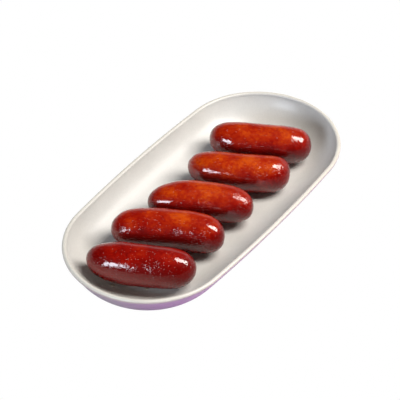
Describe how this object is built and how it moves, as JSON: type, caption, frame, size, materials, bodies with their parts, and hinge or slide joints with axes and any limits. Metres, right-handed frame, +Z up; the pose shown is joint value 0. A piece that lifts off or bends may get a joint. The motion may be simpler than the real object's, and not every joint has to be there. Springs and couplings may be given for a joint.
{
  "type": "gulab jamun in a serving dish",
  "caption": "Oblong gulab jamun, glossy red-brown and coated in syrup, lying side by side on a slant in a shallow oval glazed serving dish.",
  "frame": {"origin": "middle of the dish's flat base, on the surface that it stands on", "axes": "+X along the dish, +Y across it, +Z up; the jamun slant from +Y at the -X side down to -Y"},
  "size_m": [0.25, 0.1218, 0.0332],
  "materials": {
    "dish_glaze": "glazed ceramic: satin pale warm-grey inside, cream lip, lilac outside",
    "fried_dough": "deep red-brown fried crust, soaked and coated in clear glossy sugar syrup"
  },
  "bodies": {
    "root": {"dish": "dish_glaze", "gulab_jamun_1": "fried_dough", "gulab_jamun_2": "fried_dough", "gulab_jamun_3": "fried_dough", "gulab_jamun_4": "fried_dough", "gulab_jamun_5": "fried_dough"}
  },
  "joints": []
}
